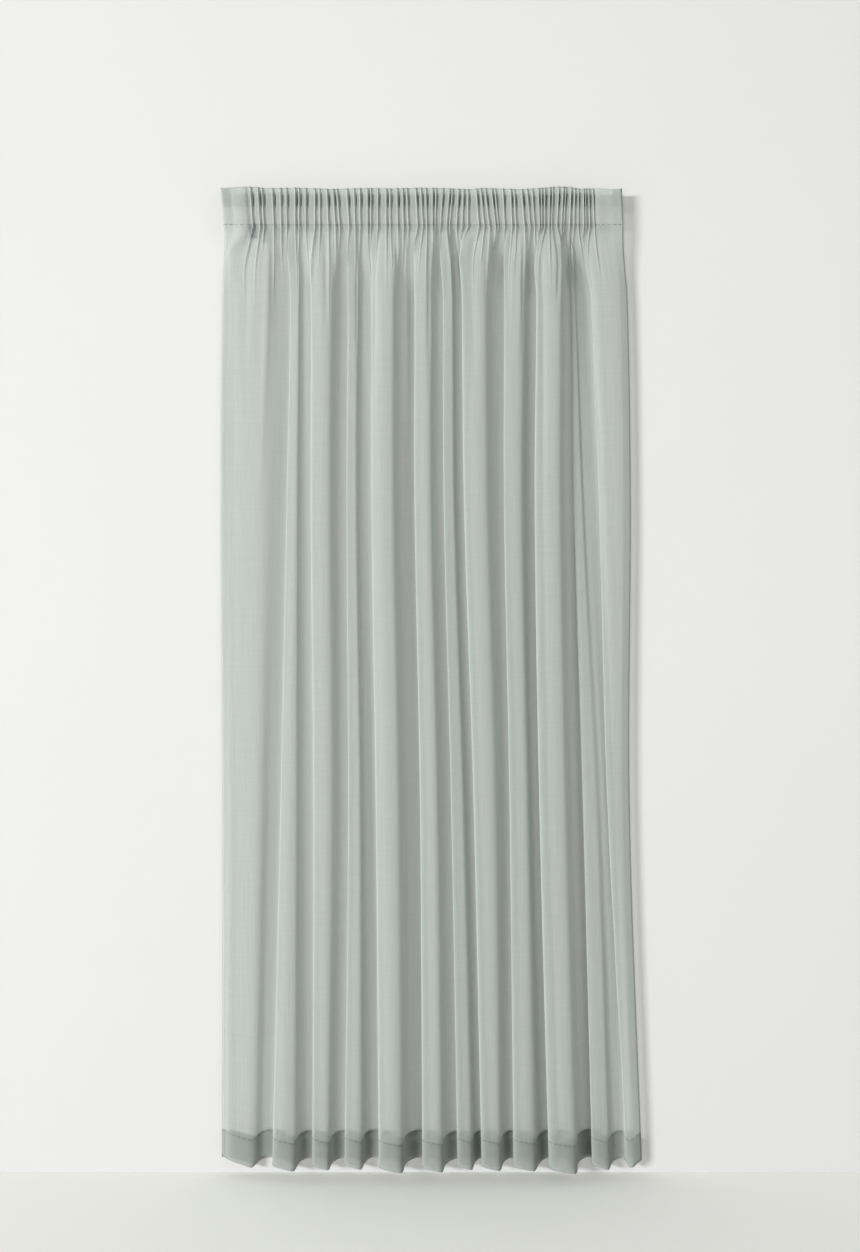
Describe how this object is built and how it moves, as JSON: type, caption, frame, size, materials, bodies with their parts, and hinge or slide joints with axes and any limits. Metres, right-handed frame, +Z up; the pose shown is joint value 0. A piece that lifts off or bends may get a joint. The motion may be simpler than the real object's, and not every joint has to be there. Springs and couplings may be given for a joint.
{
  "type": "sheer curtain",
  "caption": "Long sheer voile curtain gathered on a pencil pleat heading, hanging in soft uneven folds with narrow side hems and a deeper foot hem, to screen a window and soften its light.",
  "frame": {"origin": "middle of the heading's top edge, where the curtain is hung", "axes": "+Z up, +X to the right for someone in the room, -Y towards the room and +Y towards the window wall"},
  "size_m": [1.0875, 0.097, 2.5],
  "materials": {
    "voile": "sheer plain-woven grey-green voile, matt, with a faint uneven thread",
    "tape": "woven pencil pleat tape with denser pocket rows, matt",
    "label": "blank satin ribbon, slightly shiny"
  },
  "bodies": {
    "root": {"voile_panel": "voile", "heading_tape": "tape", "sewn_label": "label"}
  },
  "joints": []
}
